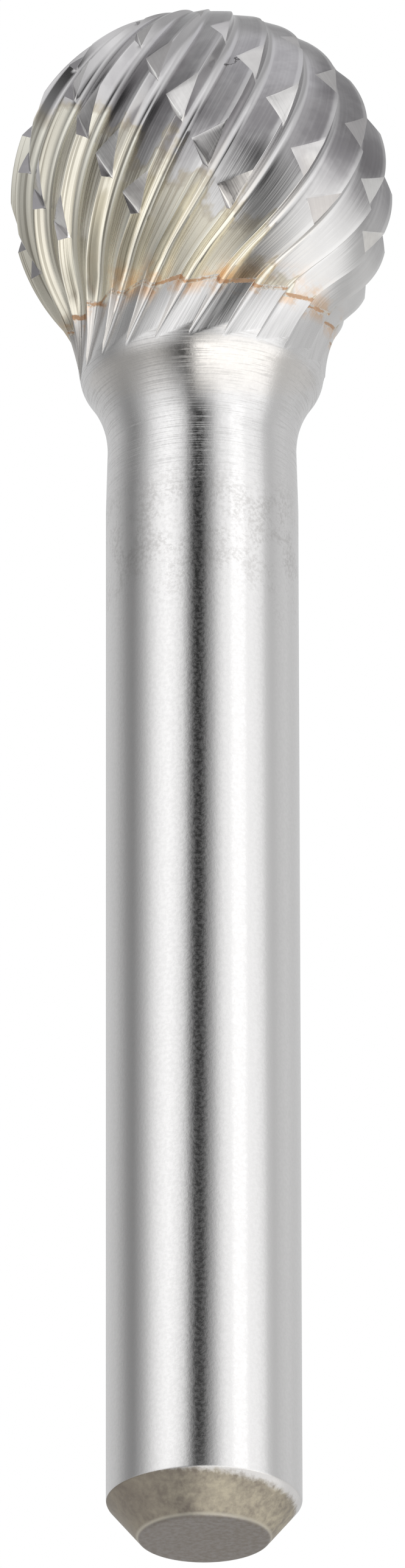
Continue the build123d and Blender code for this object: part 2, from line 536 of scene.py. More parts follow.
# point of each column at v: the weighted edges, swelled outward by the crown
def plainPoint(v):
    s = burrShape
    edges = np.stack([edge for n in range(4) for edge in fluteEdges(v, n)])
    point = np.einsum("ck,kc...x->c...x", columnWeights, edges)
    middle = point[..., 2] + (s["ballCentre"] - point[..., 2]) * smoothStep(1 + v)
    outward = point - np.stack([0 * middle, 0 * middle, middle], axis=-1)
    outward /= np.linalg.norm(outward, axis=-1, keepdims=True)
    fadeFrom, fadeOver = s["crownFade"]
    fade = 1 - smoothStep((latitudeAt(v) - fadeFrom) / fadeOver)
    return point + outward * (perColumn(columnLifts, v) * s["crown"] * fade)[..., None]


# the same with the elbow at the foot of the ball rounded: the second difference
# of the points at both reaches and the foot, times the squared way in from a reach
footReach = (-0.22, 0.045)
footBend = sum(factor * plainPoint(np.full((columnCount, 1), at))
               for at, factor in ((footReach[0], 1), (0.0, -2), (footReach[1], 1)))[:, 0]


def toothPoint(v):
    way = np.where(v < 0, 1 - v / footReach[0], 1 - v / footReach[1])
    way = np.clip(way, 0, 1) / 2
    return plainPoint(v) + (way**2)[..., None] * footBend.reshape(-1, *[1] * (v.ndim - 1), 3)


# sphere coordinates about the centre of the ball
def aroundBall(point):
    rel = point - ballCentre
    radius = np.linalg.norm(rel, axis=-1)
    lat = np.degrees(np.arcsin(np.clip(rel[..., 2] / radius, -1, 1)))
    azimuth = np.degrees(np.arctan2(rel[..., 0], -rel[..., 1]))
    return radius, lat, azimuth


# share of the full notch: a smooth rise from the low end and a smooth fall
def notchSize(lat):
    n = notchShape
    rise = smoothStep((lat - n["low"]) / n["leadIn"])
    fall = 1 - smoothStep((lat - burrShape["fullDepthLatitude"]) / n["leadOut"])
    return np.maximum(rise * fall, n["endSize"])


# distance across the notch in mm for an azimuth offset from its bottom line
def notchOffset(offset, lat):
    cosine = np.cos(np.radians(lat))
    return np.radians(offset) * burrShape["ballRadius"] * cosine / np.hypot(1, notchSlope(lat) * cosine)


# radius of a notch side: the floor plus a straight rise across its width
def notchSide(offset, lat, width):
    n = notchShape
    size = notchSize(lat)
    rise = notchOffset(offset, lat) / width / size
    radius = burrShape["ballRadius"] + n["lift"] - n["depth"] * size * (1 - rise)
    uncut = 99.0
    return np.where((lat > n["low"]) & (lat < n["high"]), radius, uncut)


# the higher of the two sides, and of a thin flat above the bottom of the V
def notchRadius(offset, lat):
    n = notchShape
    size = notchSize(lat)
    sides = np.maximum(notchSide(offset, lat, n["ramp"]), notchSide(offset, lat, -n["wall"]))
    bottom = burrShape["ballRadius"] + n["lift"] - n["depth"] * size
    return np.maximum(sides, bottom + n["root"] * size)


# azimuth offset of each column from notch number 0, carried on in a straight
# line past both ends of the ball
def offsetAt(v):
    inside = np.clip(v, 0, 1)
    radius, lat, azimuth = aroundBall(toothPoint(inside))
    column = perColumn(np.arange(columnCount), v)
    near = burrShape["phase"] + fluteTurn(latitudeAt(inside)) + pitch * column / (columnCount - 1)
    azimuth = near + (azimuth - near + 180) % 360 - 180
    beyond = (v - inside) * toothGrid["beyondEnds"]
    return azimuth - notchShape["phase"] - notchTurn(lat) + beyond, lat, radius


# halving search, all columns at once, for where a rising function passes zero
def findZero(rising, low, high, halvings=34):
    for step in range(halvings):
        middle = (low + high) / 2
        past = rising(middle) > 0
        low, high = np.where(past, low, middle), np.where(past, middle, high)
    return (low + high) / 2


# rows along the ball: they follow the notches, so that every notch edge is an
# edge of the mesh; the same row of the next pair of teeth is one notch on.
# kinds: 0 plain, 1 shallow side, 2 bottom, 3 steep side
def notchRows(bottomV):
    g, n = toothGrid, notchShape
    numbers = np.arange(*g["notchNumbers"])
    grid = np.ones((columnCount, len(numbers)))
    floor = findZero(lambda v: offsetAt(v)[0] - numbers * pitch, -1.6 * grid, 2.4 * grid)

    def rampGap(v):
        offset, lat, radius = offsetAt(v)
        return notchSide(offset - numbers * pitch, lat, n["ramp"]) - radius

    def wallGap(v):
        offset, lat, radius = offsetAt(v)
        return radius - notchSide(offset - numbers * pitch, lat, -n["wall"])

    rampEnd = np.maximum(findZero(rampGap, floor, floor + g["rampReach"]), floor + g["leastRamp"])
    wallEnd = np.minimum(findZero(wallGap, floor - g["wallReach"], floor), floor - g["leastWall"])
    rampShares = np.append(n["root"] / n["depth"], np.linspace(0, 1, g["rampRows"] + 1)[1:])
    plainShares = np.linspace(0, 1, g["plainRows"] + 2)[1:]
    rows, kinds = [], []
    for i in range(len(numbers) - 1):
        rows.append(floor[:, i])
        rows += [floor[:, i] * (1 - q) + rampEnd[:, i] * q for q in rampShares]
        rows += [rampEnd[:, i] * (1 - q) + wallEnd[:, i + 1] * q for q in plainShares]
        kinds += [2] + [1] * g["rampRows"] + [0] * (g["plainRows"] + 1) + [3]
    rows.append(floor[:, -1])
    rows = np.stack(rows, axis=1)
    rows = np.where(rows < bottomV[:, None] + g["close"], bottomV[:, None], rows)
    rows = np.where(rows > 1 - g["close"], 1.0, rows)
    return rows, np.array(kinds), len(kinds) // (len(numbers) - 1)


# v at which each column reaches a height
def heightRow(height):
    grid = np.ones(columnCount)
    return findZero(lambda v: toothPoint(v)[..., 2] - height, -grid, 0.5 * grid)


# copies of the points, each turned one pair of teeth further round
def turned(points, count):
    angles = np.radians(np.arange(count) * pitch)
    x, y = points[..., 0], points[..., 1]
    cosine, sine = (part(angles).reshape(count, *[1] * x.ndim) for part in (np.cos, np.sin))
    return np.stack([x * cosine - y * sine, x * sine + y * cosine,
                     np.broadcast_to(points[..., 2], (count, *x.shape))], axis=-1)


# distance of each column across the teeth in mm, measured along the surface
def acrossTooth():
    middle = toothPoint(np.full((columnCount, 1), grindMap["acrossAt"]))[:, 0]
    return np.concatenate([[0], np.cumsum(np.linalg.norm(np.diff(middle, axis=0), axis=1))])


# "grind" map of a grid of columns by rows on the teeth
def toothUv(rows):
    return np.stack([acrossTooth()[:, None] + 0 * rows, rows * grindMap["alongPerV"]], axis=-1)


# the four corners of each cell of a grid of values
def cornersOf(grid):
    return np.stack([grid[:-1, :-1], grid[1:, :-1], grid[1:, 1:], grid[:-1, 1:]], axis=2)


# mesh of quads and triangles from corner numbers, leaving out collapsed faces
def buildMesh(name, points, quads, uvs, slots, materials, fans=(), land=None):
    a, b, c, d = quads.T
    whole = (a != b) & (b != c) & (c != d) & (d != a)
    part = ~whole & (a != c) & (b != d) & (((a == b) | (d == a)).astype(int) + ((b == c) | (c == d)) < 2)
    corners = [quads[whole].tolist()]
    cornerUvs = [uvs[whole].reshape(-1, 2)]
    faceSlots = [slots[whole]]
    for drop, same in ((1, a == b), (2, b == c), (3, c == d), (0, d == a)):
        chosen = part & same
        keep = [k for k in range(4) if k != drop]
        corners.append(quads[chosen][:, keep].tolist())
        cornerUvs.append(uvs[chosen][:, keep].reshape(-1, 2))
        faceSlots.append(slots[chosen])
        part = part & ~same
    for fan, slot in fans:
        corners.append(fan.tolist())
        cornerUvs.append(np.zeros((3 * len(fan), 2)))
        faceSlots.append(np.full(len(fan), slot))
    lengths = np.array([len(face) for group in corners for face in group])
    flat = np.concatenate([np.asarray(group).ravel() for group in corners if len(group)]).astype(int)
    used, compact = np.unique(flat, return_inverse=True)
    mesh = bpy.data.meshes.new(name)
    mesh.vertices.add(len(used))
    mesh.vertices.foreach_set("co", (points[used] * mm).astype(np.float32).ravel())
    mesh.loops.add(len(flat))
    mesh.loops.foreach_set("vertex_index", compact.ravel().astype(np.int32))
    starts = np.concatenate([[0], np.cumsum(lengths)[:-1]])
    mesh.polygons.add(len(lengths))
    for title, values in (("loop_start", starts), ("loop_total", lengths),
                          ("material_index", np.concatenate(faceSlots))):
        mesh.polygons.foreach_set(title, values.astype(np.int32))
    layer = mesh.uv_layers.new(name="grind")
    layer.data.foreach_set("uv", np.concatenate(cornerUvs).astype(np.float32).ravel())
    if land is not None:
        shares = mesh.attributes.new("land", "FLOAT", "POINT")
        shares.data.foreach_set("value", land[used].astype(np.float32))
    mesh.update()
    mesh.validate()
    mesh.polygons.foreach_set("use_smooth", np.ones(len(mesh.polygons), dtype=bool))
    mesh.set_sharp_from_angle(angle=math.radians(24))
    for material in materials:
        mesh.materials.append(material)
    made = bpy.data.objects.new(name, mesh)
    scene.collection.objects.link(made)
    print(name, len(mesh.vertices), "points", int((lengths - 2).sum()), "triangles")
    return made


# triangles that close both ends of a ring to the points number count and count + 1
def closingFans(low, high, count):
    return (np.stack([np.roll(low, -1), low, np.full(len(low), count)], axis=1),
            np.stack([high, np.roll(high, -1), np.full(len(high), count + 1)], axis=1))


# teeth of the ball: each point is drawn in to the notch that passes over it
def makeHead(materials):
    notchAhead, tiny, leastCut = 6, 1e-9, 0.003
    bottomV = heightRow(burrShape["brazeTop"])
    rows, kinds, perNotch = notchRows(bottomV)
    point = toothPoint(rows)
    radius, lat, azimuth = aroundBall(point)
    offset = (azimuth - notchShape["phase"] - notchTurn(lat) + notchAhead) % pitch - notchAhead
    cut = np.maximum(radius - notchRadius(offset, lat), 0)
    point = ballCentre + (point - ballCentre) * ((radius - cut) / radius)[..., None]
    height, width = rows.shape[1], columnCount - 1
    copies = burrShape["pairs"]
    points = turned(point[:-1], copies).reshape(-1, 3)

    firstRow = (rows <= bottomV[:, None] + tiny).sum(axis=1) - 1
    lastRow = height - (rows >= 1 - tiny).sum(axis=1)
    row = np.clip(np.arange(height)[None, :], firstRow[:, None], lastRow[:, None])
    columnStart = (np.arange(copies)[:, None] * width + np.arange(width)) * height
    index = columnStart[:, :, None] + row[None, :-1]
    nextRow = np.clip(np.arange(height) - perNotch, firstRow[0], lastRow[0])
    seam = np.roll(columnStart[:, :1], -1, axis=0) + nextRow
    index = np.concatenate([index, seam[:, None, :]], axis=1)
    quads = np.stack([index[:, :-1, :-1], index[:, 1:, :-1],
                      index[:, 1:, 1:], index[:, :-1, 1:]], axis=-1)

    g = grindMap
    notchAcross = g["notchStart"] + notchOffset(offset, lat)
    notchUv = np.stack([notchAcross, azimuth * g["notchPerDegree"]], axis=-1)
    inNotch = (kinds[None, :] > 0) & (cornersOf(cut).max(axis=2) > leastCut)
    uv = np.where(inNotch[..., None, None], cornersOf(notchUv), cornersOf(toothUv(rows)))
    uv = np.broadcast_to(uv, (copies, *uv.shape)).copy()
    uv[..., 0] += g["pairStep"] * np.arange(copies)[:, None, None, None]
    slots = np.broadcast_to(np.where(inNotch, kinds[None, :], 0), (copies, *inNotch.shape))

    foot, top = ((columnStart + end[:-1]).ravel() for end in (firstRow, lastRow))
    under, over = closingFans(foot, top, len(points))
    ends = [[0, 0, burrShape["brazeTop"]], [0, 0, points[top][:, 2].max()]]
    land = np.append(np.tile(np.repeat(columnLand[:-1], height), copies), (0.0, 0.0))
    return buildMesh("burrHead", np.concatenate([points, ends]), quads.reshape(-1, 4),
                     uv.reshape(-1, 4, 2), slots.reshape(-1), materials, ((under, 0), (over, 0)), land)


# outline of the turned steel, in mm: radius and height of its corners
steelShape = {
    "endRadius": 1.975,
    "chamferTop": 1.235,
    "endRound": 0.15,
    "rimRound": 0.22,
    "shankRadius": 3.0,
    "neckFoot": 34.25,
    "waist": (2.945, 36.3),
    "flare": (3.58, 38.25),
    "collar": (3.81, 38.85),
    "mouthMargin": 0.12,
}
# numbers of rows on each part of it
steelGrid = {
    "middle": 0.4,       # radius where the end face turns into a fan
    "endFace": 6,
    "endRound": 7,
    "chamfer": 8,
    "rimRound": 9,
    "rimOfEnd": 5,       # rows of the rim that belong to the browned end
    "shank": 40,
    "neck": 34,
    "toMouth": 9,        # rows of the teeth inside the blank, and where they stand free
    "free": 17,
}


# points of the arc that rounds a corner: tangent lengths along both sides,
# then a turn about the centre on the bisector
def roundCorner(before, corner, after, radius, count):
    before, corner, after = (np.array(p, dtype=float) for p in (before, corner, after))
    inward, outward = before - corner, after - corner
    inward /= np.linalg.norm(inward)
    outward /= np.linalg.norm(outward)
    half = math.acos(float(inward @ outward)) / 2
    bisector = inward + outward
    centre = corner + bisector / np.linalg.norm(bisector) * radius / math.sin(half)
    first = corner + inward * radius / math.tan(half) - centre
    last = corner + outward * radius / math.tan(half) - centre
    start, stop = math.atan2(first[1], first[0]), math.atan2(last[1], last[0])
    stop = start + (stop - start + math.pi) % (2 * math.pi) - math.pi
    angles = np.linspace(start, stop, count)
    return centre + radius * np.stack([np.cos(angles), np.sin(angles)], axis=1)


# arc from one point to another with a given slope at its start, as a radius
# for each height: centre at right angles to the start, one radius away
def arcRadius(height, start, end, slope):
    span = np.array(end) - start
    normal = np.array([1.0, -slope]) / math.hypot(1, slope)
    radius = float(span @ span) / (2 * float(span @ normal))
    centre = np.array(start) + normal * radius
    side = -math.copysign(1.0, radius)
    root = np.sqrt(np.maximum(radius**2 - (height - centre[1]) ** 2, 0))
    endSlope = -side * (end[1] - centre[1]) / math.sqrt(radius**2 - (end[1] - centre[1]) ** 2)
    return centre[0] + side * root, endSlope


# the blank is widest at its mouth, a little outside the tooth tips
def mouthRadius():
    tip = toothPoint(np.full((columnCount, 1), 0.0) + heightRow(burrShape["brazeBottom"])[:, None])
    return np.hypot(tip[..., 0], tip[..., 1]).max() + steelShape["mouthMargin"]


# radius of the turned blank by height: foot line, flare arc, collar arc, and a
# straight line to the mouth
def blankRadius(height, mouth):
    s = steelShape
    foot = s["shankRadius"] + (s["waist"][0] - s["shankRadius"]) * np.clip(
        (height - s["neckFoot"]) / (s["waist"][1] - s["neckFoot"]), 0, 1)
    flare, slope = arcRadius(height, s["waist"], s["flare"], 0.0)
    collar = arcRadius(height, s["flare"], s["collar"], slope)[0]
    toMouth = s["collar"][0] + (mouth - s["collar"][0]) * (height - s["collar"][1]) / (
        burrShape["brazeBottom"] - s["collar"][1])
    radius = np.where(height < s["waist"][1], foot, flare)
    radius = np.where(height < s["flare"][1], radius, collar)
    return np.where(height < s["collar"][1], radius, toMouth)


# closed solid from a grid of columns by rows: faces go round, and a fan
# closes each end on the axis
def ringMesh(name, grid, uv, slots, materials):
    columns, rows = grid.shape[:2]
    index = np.arange(columns * rows).reshape(columns, rows)
    nextColumn = np.roll(index, -1, axis=0)
    quads = np.stack([index[:, :-1], nextColumn[:, :-1], nextColumn[:, 1:], index[:, 1:]], axis=-1)
    wrapped = np.concatenate([uv, uv[:1]], axis=0)
    wrapped[-1, :, 0] = 2 * uv[-1, :, 0] - uv[-2, :, 0]
    points = grid.reshape(-1, 3)
    under, over = closingFans(index[:, 0], index[:, -1], len(points))
    ends = [[0, 0, grid[:, 0, 2].mean()], [0, 0, grid[:, -1, 2].mean()]]
    slots = np.broadcast_to(slots, (columns, rows - 1)).reshape(-1)
    return buildMesh(name, np.concatenate([points, ends]), quads.reshape(-1, 4),
                     cornersOf(wrapped).reshape(-1, 4, 2), slots, materials,
                     ((under, slots[0]), (over, slots[rows - 2])))


# the teeth between the two heights of the joint
def makeBraze(materials):
    low, high = heightRow(burrShape["brazeBottom"]), heightRow(burrShape["brazeTop"])
    rows = low[:, None] + (high - low)[:, None] * np.linspace(0, 1, 4)
    point = toothPoint(rows)
    point[:, 0, 2], point[:, -1, 2] = burrShape["brazeBottom"], burrShape["brazeTop"]
    grid = turned(point[:-1], burrShape["pairs"]).reshape(-1, rows.shape[1], 3)
    uv = np.tile(toothUv(rows)[:-1], (burrShape["pairs"], 1, 1))
    return ringMesh("brazeRing", grid, uv, 0, materials)


# the teeth on the neck, held inside the turned blank
def neckRows(mouth):
    top = heightRow(burrShape["brazeBottom"])

    def outside(v):
        point = toothPoint(v)
        return blankRadius(point[..., 2], mouth) - np.hypot(point[..., 0], point[..., 1])

    meets = findZero(outside, -np.ones(columnCount), top)
    rows = np.concatenate([
        -1 + (meets + 1)[:, None] * np.linspace(0, 1, steelGrid["toMouth"])[:-1],
        meets[:, None] + (top - meets)[:, None] * np.linspace(0, 1, steelGrid["free"]),
    ], axis=1)
    neck = toothPoint(rows)
    neck[:, -1, 2] = burrShape["brazeBottom"]
    radius = np.hypot(neck[..., 0], neck[..., 1])
    scale = np.minimum(radius, blankRadius(neck[..., 2], mouth)) / radius
    scale[:, -1] = 1.0
    neck[..., :2] *= scale[..., None]
    return rows, neck


# radius and height along the turned steel, from the middle of the end face up
def turnedProfile(mouth):
    s, g = steelShape, steelGrid
    foot, edge = (s["endRadius"], 0), (s["shankRadius"], s["chamferTop"])
    shank = (s["shankRadius"], s["neckFoot"])
    end = roundCorner((0, 0), foot, edge, s["endRound"], g["endRound"])
    rim = roundCorner(foot, edge, shank, s["rimRound"], g["rimRound"])
    face = np.linspace(g["middle"], end[0, 0], g["endFace"])[:-1]
    heights = np.concatenate([np.linspace(rim[-1, 1], s["neckFoot"], g["shank"])[1:],
                              np.linspace(s["neckFoot"], s["flare"][1], g["neck"])[1:-1]])
    browned = [np.stack([face, 0 * face], axis=1), end,
               np.linspace(end[-1], rim[0], g["chamfer"])[1:-1], rim[:g["rimOfEnd"]]]
    steel = [rim[g["rimOfEnd"]:], np.stack([blankRadius(heights, mouth), heights], axis=1)]
    return np.concatenate(browned + steel), sum(len(part) for part in browned)


def makeShank(materials):
    copies = burrShape["pairs"]
    mouth = mouthRadius()
    rows, neck = neckRows(mouth)
    profile, brownedRows = turnedProfile(mouth)
    azimuth = np.degrees(np.arctan2(neck[:, 0, 0], -neck[:, 0, 1]))[:, None]
    radius, height = (part + 0 * azimuth for part in profile.T)
    lower = polar(radius, azimuth + 0 * radius, height)
    grid = turned(np.concatenate([lower, neck], axis=1)[:-1], copies)
    grid = grid.reshape(-1, len(profile) + rows.shape[1], 3)
    around = np.unwrap(np.radians(azimuth[:, 0]))[:, None] * steelShape["shankRadius"]
    lowerUv = np.stack([around + 0 * height, height], axis=-1)
    uv = np.tile(np.concatenate([lowerUv, toothUv(rows)], axis=1)[:-1], (copies, 1, 1))
    slots = np.zeros(len(profile) + rows.shape[1] - 1, dtype=int)
    slots[len(profile) + steelGrid["toMouth"] - 1:] = 1
    slots[:brownedRows] = 2
    return ringMesh("steelShank", grid, uv, slots, materials)


# node groups: each takes and gives plain values, so several finishes share it
def nodeGroup(name, inputs, outputs):
    tree = bpy.data.node_groups.new(name, "ShaderNodeTree")
    for title, kind, value in inputs:
        socket = tree.interface.new_socket(title, in_out="INPUT", socket_type=kind)
        socket.default_value = value
    for title, kind in outputs:
        tree.interface.new_socket(title, in_out="OUTPUT", socket_type=kind)
    return tree, node(tree, "NodeGroupInput").outputs, node(tree, "NodeGroupOutput").inputs


def useGroup(tree, group, **values):
    made = node(tree, "ShaderNodeGroup", node_tree=group)
    for title, value in values.items():
        feed(tree, made.inputs[title], value)
    return made.outputs


def noise(tree, vector, scale, detail, roughness):
    made = node(tree, "ShaderNodeTexNoise")
    values = {"Vector": vector, "Scale": scale, "Detail": detail, "Roughness": roughness}
    for title, value in values.items():
        feed(tree, made.inputs[title], value)
    return made.outputs["Fac"]


# long scratches: noise drawn out along the second coordinate, fine and broad
def makeScratches():
    value = "NodeSocketFloat"
    tree, given, out = nodeGroup("scratches", (
        ("Across", value, 0.0), ("Along", value, 0.0), ("PerMm", value, 20.0), ("Breaks", value, 0.4)),
        (("Fine", value), ("Broad", value)))
    broadShare, broadLength, apart = 0.2, 0.6, 7.0
    along = times(tree, given["Along"], given["Breaks"])
    across = times(tree, given["Across"], given["PerMm"])
    fine = noise(tree, joinXyz(tree, across, along), 1.0, 1.6, 0.55)
    coarse = joinXyz(tree, times(tree, across, broadShare), times(tree, along, broadLength), apart)
    feed(tree, out["Fine"], remap(tree, fine, 0.3, 0.7))
    feed(tree, out["Broad"], remap(tree, noise(tree, coarse, 1.0, 2.0, 0.5), 0.32, 0.68))
    return tree


# soft blotches with finer ones inside them, from Object coordinates in mm
def makeBlotches():
    tree, given, out = nodeGroup("blotches", (
        ("Place", "NodeSocketVector", (0, 0, 0)), ("PerMm", "NodeSocketFloat", 1.0)),
        (("Value", "NodeSocketFloat"),))
    cloud = noise(tree, given["Place"], given["PerMm"], 4.0, 0.62)
    feed(tree, out["Value"], remap(tree, cloud, 0.34, 0.66))
    return tree


scratches = makeScratches()
blotches = makeBlotches()


# a metal with its place in mm, as a vector and as its parts X, Y and Z
def newFinish(name):
    made = bpy.data.materials.new(name)
    made.use_nodes = True
    tree = made.node_tree
    shader = tree.nodes["Principled BSDF"]
    shader.inputs["Metallic"].default_value = 1.0
    place = node(tree, "ShaderNodeVectorMath", operation="SCALE")
    link(tree, node(tree, "ShaderNodeTexCoord").outputs["Object"], place.inputs[0])
    place.inputs["Scale"].default_value = 1 / mm
    place = place.outputs[0]
    return made, tree, shader, place, splitXyz(tree, place)


def bump(tree, height, depth, onto=None):
    made = node(tree, "ShaderNodeBump")
    made.inputs["Strength"].default_value = 1.0
    made.inputs["Distance"].default_value = depth * mm
    feed(tree, made.inputs["Height"], height)
    feed(tree, made.inputs["Normal"], onto)
    return made.outputs[0]


# colour, roughness and a bump of a few thousandths of a mm
def setFinish(tree, shader, colour, roughness, height, depth, onto=None):
    values = {"Base Color": colour, "Roughness": roughness, "Normal": bump(tree, height, depth, onto)}
    for title, value in values.items():
        feed(tree, shader.inputs[title], value)


def cloudOf(tree, place, perMm):
    return useGroup(tree, blotches, Place=place, PerMm=perMm)["Value"]


# scratches that follow the piece's "grind" map
def grindMarks(tree, perMm, breaks):
    uv = splitXyz(tree, node(tree, "ShaderNodeTexCoord").outputs["UV"])
    marks = useGroup(tree, scratches, Across=uv["X"], Along=uv["Y"], PerMm=perMm, Breaks=breaks)
    return marks["Fine"], marks["Broad"]


# places and heights are in mm; a tuple of two or four numbers is a smooth
# change: from, to, and its values there if they aren't 0 and 1
carbideLook = {
    "dark": (0.24, 0.23, 0.24),
    "light": (0.56, 0.55, 0.555),
    "toneSpan": (0.05, 0.95),
    "streaks": (11.0, 0.09),         # per mm across, and how often they break
    "fineTone": 0.24,                # what each adds to the tone
    "broadTone": 0.32,
    "cloudTone": 0.30,
    "landTone": 0.62,
    "cloudPerMm": 0.5,
    "specksPerMm": 4.5,
    "streakUp": (48.0, 43.0, 0.30, 1.0),
    "streakAcross": (-1.0, 4.0, 1.0, 0.6),
    "freshTone": 0.42,               # how much lighter the backs near the tip are
    "freshUp": (45.8, 47.8),
    "freshAcross": (-2.2, 0.6),
    "freshEnd": (4.4, 3.2),
    "paleGrey": (0.93, 0.92, 0.90),     # pale grey, mixed in low on the ball
    "paleGreyUp": (45.2, 41.8, 0.0, 1.0),
    "paleGreyShare": 0.65,
    "straw": (1.0, 0.93, 0.76),      # heat tint from the brazing
    "strawTop": -2.35,               # height of the tint's edge above the middle of the ball
    "strawSlant": 0.80,              # how it drops from one side to the other
    "strawLand": -0.9,               # how it steps from tooth to tooth
    "strawCloud": 1.5,
    "strawSpan": (0.45, -0.55),
    "film": (0.90, 0.885, 0.80),     # where the tint turns pale and matt
    "filmWorn": (0.36, 0.345, 0.295),  # its darker streaks
    "filmSpan": (0.20, 0.52),
    "filmLand": 0.22,
    "filmRoughness": 0.16,           # added where the film is whole
    "filmMetal": -0.35,
    "paleAcross": (3.0, -3.0, 0.30, 0.75),
    "paleStreak": (0.1, 0.6, 0.55, 1.0),
    "paleLand": 0.8,
    "rim": (0.40, 0.33, 0.215),      # browner edge of the tint
    "rimShare": 1.6,
    "notch": (0.50, 0.485, 0.485),
    "wall": (0.30, 0.29, 0.30),      # steep side of a chip breaker, darkened as painted shade
    "root": (0.92, 0.91, 0.89),      # painted highlight: thin bright line at its bottom, standing in for a glint
    "notchUp": (47.5, 43.0, 0.35, 1.0),
    "stain": (1.0, 0.78, 0.60),      # copper drawn up beside the joint
    "stainReach": 0.9,
    "roughness": (0.17, 0.32),
}
crackLook = {
    "start": (0.875, -5.51, 47.51),
    "end": (1.74, -5.06, 48.01),
    "colour": (0.05, 0.045, 0.045),
    "share": 0.85,
    "bendsPerMm": 4.5,
    "wander": 0.7,                   # how far it strays to both sides together
    "halfWidth": (0.045, 0.018),
    "startSpan": (-0.03, 0.02),
    "endSpan": 0.15,
    "depth": -1.0,                   # no deeper, so that the far side stays clear
}


# 1 where the brazing heat tinted the metal: below a slanting, cloudy line that
# steps a little from tooth to tooth
def tintMask(tree, look, axis, cloud, land):
    rise = calc(tree, "SUBTRACT", axis["Z"], burrShape["ballCentre"] + look["strawTop"])
    edge = addShare(tree, axis["X"], look["strawSlant"], rise)
    edge = addShare(tree, land, look["strawLand"], edge)
    edge = calc(tree, "SUBTRACT", edge, look["strawCloud"] / 2)
    return remap(tree, addShare(tree, cloud, look["strawCloud"], edge), *look["strawSpan"])


# how far a place lies above or below a height
def distanceFrom(tree, axis, height):
    return calc(tree, "ABSOLUTE", calc(tree, "SUBTRACT", axis["Z"], height))


# 1 in patches close to one height, fading out within a reach of it
def stainMask(tree, axis, height, reach, cloud, specks):
    near = remap(tree, distanceFrom(tree, axis, height), reach, 0.0)
    return times(tree, near, remap(tree, addShare(tree, specks, 0.22, cloud), 0.45, 1.1))


# a hairline crack: a thin jagged line from one point of the ball to another
def crackMask(tree, look, place):
    start, end = Vector(look["start"]), Vector(look["end"])
    outward = (start - Vector(ballCentre)).normalized()
    ahead = (end - start).normalized()
    length = (end - start).length
    apart = node(tree, "ShaderNodeVectorMath", operation="SUBTRACT")
    link(tree, place, apart.inputs[0])
    apart.inputs[1].default_value = tuple(start)

    def part(direction):
        made = node(tree, "ShaderNodeVectorMath", operation="DOT_PRODUCT")
        link(tree, apart.outputs[0], made.inputs[0])
        made.inputs[1].default_value = tuple(direction)
        return made.outputs["Value"]

    bends = noise(tree, place, look["bendsPerMm"], 2.0, 0.7)
    jag = addShare(tree, bends, look["wander"], -look["wander"] / 2)
    aside = calc(tree, "ABSOLUTE", calc(tree, "ADD", part(outward.cross(ahead)), jag))
    ends = window(tree, part(ahead), *look["startSpan"], length - look["endSpan"], length)
    line = times(tree, remap(tree, aside, *look["halfWidth"]), ends)
    return times(tree, line, calc(tree, "GREATER_THAN", part(outward), look["depth"]))


# tone of the bare carbide: streaks on the backs, clouds, lighter lands, and
# lighter backs near the tip
def carbideTone(tree, look, axis, streak, cloud, land, back):
    tone = addShare(tree, cloud, look["cloudTone"], times(tree, streak, back))
    tone = addShare(tree, land, look["landTone"], tone)
    fresh = times(tree, remap(tree, axis["Z"], *look["freshUp"]),
                  remap(tree, axis["X"], *look["freshAcross"]),
                  remap(tree, axis["X"], *look["freshEnd"]))
    return addShare(tree, fresh, look["freshTone"], tone)
